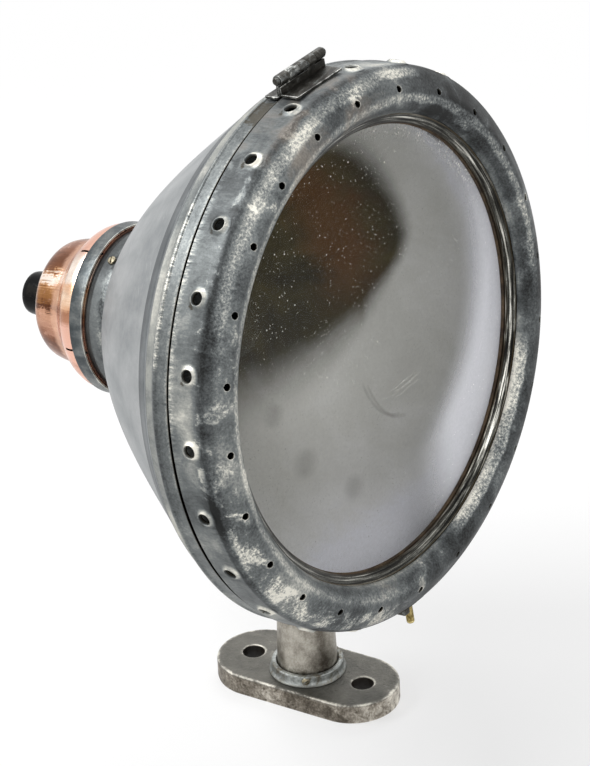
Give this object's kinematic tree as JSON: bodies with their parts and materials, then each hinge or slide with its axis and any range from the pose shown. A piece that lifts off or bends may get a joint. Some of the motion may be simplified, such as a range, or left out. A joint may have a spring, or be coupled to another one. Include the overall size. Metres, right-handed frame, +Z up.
{
  "type": "theater floodlight",
  "caption": "Stage floodlight with a conical housing, a hinged front ring with round glass, a mirror bowl, a copper lampholder cap and a pan and tilt post on a bolted oval foot.",
  "frame": {"origin": "centre of the base plate's underside", "axes": "+Z up the post, the plate's long side along Y, the lamp shining towards -Y"},
  "size_m": [0.4079, 0.3558, 0.5235],
  "materials": {
    "cast_iron": "dull, burnished at the top edge",
    "blue_grey_steel": "worn through on the crown",
    "grey_steel": "worn satin",
    "dark_steel": "oxidised",
    "bright_steel": "satin",
    "nickel": "warm satin",
    "copper": "polished copper",
    "brass": "aged",
    "mirror": "polished bowl",
    "glass": "clear with dust",
    "felt": "matt",
    "black_bush": "glossy",
    "porcelain": "glazed",
    "tungsten": "drawn wire"
  },
  "bodies": {
    "base": {"base_flange": "cast_iron", "post_collar": "grey_steel"},
    "set_screw": {"base_set_screw": "brass"},
    "post": {"post": "nickel"},
    "head": {"tilt_bolt": "bright_steel", "tilt_washer_left": "bright_steel", "tilt_washer_right": "bright_steel", "tilt_bracket": "dark_steel", "bracket_rivet_1": "bright_steel", "bracket_rivet_2": "bright_steel", "bracket_rivet_3": "bright_steel", "bracket_rivet_4": "bright_steel", "housing_shell": "grey_steel", "neck_collar": "dark_steel", "neck_screw_1": "brass", "neck_screw_2": "brass", "neck_screw_3": "brass", "neck_screw_4": "brass", "reflector": "mirror", "reflector_clip_1": "bright_steel", "reflector_clip_2": "bright_steel", "reflector_clip_3": "bright_steel", "body_hinge_leaf": "dark_steel", "hinge_pin": "bright_steel"},
    "wing_nut": {"tilt_wing_nut": "brass"},
    "door": {"bezel_ring": "blue_grey_steel", "glass_frame_ring": "bright_steel", "glass_gasket": "felt", "front_glass": "glass", "glass_clip_1": "bright_steel", "glass_clip_2": "bright_steel", "glass_clip_3": "bright_steel", "glass_clip_4": "bright_steel", "door_hinge_leaf": "dark_steel", "latch_plate": "dark_steel"},
    "latch": {"latch_screw": "brass"},
    "cap": {"rear_cap": "copper", "clamp_band": "dark_steel", "band_nut": "bright_steel", "cable_nipple": "brass", "nipple_locknut": "brass", "cable_bush": "black_bush", "lamp_socket": "porcelain", "socket_shell": "brass", "socket_contact": "brass", "socket_strap": "bright_steel", "strap_screw_1": "brass", "strap_screw_2": "brass"},
    "band_screw": {"band_screw": "bright_steel"},
    "lamp": {"lamp_globe": "glass", "lamp_base": "brass", "lamp_stem": "glass", "lamp_filament": "tungsten"}
  },
  "joints": [
    {"name": "set_screw_turn", "type": "hinge", "parent": "base", "child": "set_screw", "pos_m": [0, 0, 0.0203], "axis": [-0.8829, -0.4695, 0], "range_deg": [0, 360]},
    {"name": "pan", "type": "hinge", "parent": "base", "child": "post", "pos_m": [0, 0, 0.016], "axis": [0, 0, 1], "range_deg": [-175, 175]},
    {"name": "tilt", "type": "hinge", "parent": "post", "child": "head", "pos_m": [0, 0, 0.1104], "axis": [0.9968, -0.0797, 0], "range_deg": [-45, 30]},
    {"name": "wing_nut_turn", "type": "hinge", "parent": "head", "child": "wing_nut", "pos_m": [0, 0, 0.1104], "axis": [0.9968, -0.0797, 0], "range_deg": [0, 360]},
    {"name": "door_hinge", "type": "hinge", "parent": "head", "child": "door", "pos_m": [-0.00152, -0.01903, 0.51957], "axis": [-0.9968, 0.0797, 0], "range_deg": [0, 110]},
    {"name": "latch_screw_turn", "type": "hinge", "parent": "door", "child": "latch", "pos_m": [-0.00749, -0.0937, 0.10172], "axis": [-0.011, -0.1379, -0.9904], "range_deg": [0, 360]},
    {"name": "cap_slide", "type": "slide", "parent": "head", "child": "cap", "axis": [0.0789, 0.9872, -0.1383], "range_m": [0, 0.015]},
    {"name": "band_screw_turn", "type": "hinge", "parent": "cap", "child": "band_screw", "pos_m": [0.05544, 0.13528, 0.22665], "axis": [-0.7707, -0.0276, -0.6366], "range_deg": [0, 360]},
    {"name": "lamp_turn", "type": "hinge", "parent": "cap", "child": "lamp", "pos_m": [0.01199, 0.15003, 0.2786], "axis": [0.0789, 0.9872, -0.1383], "range_deg": [0, 360]}
  ]
}
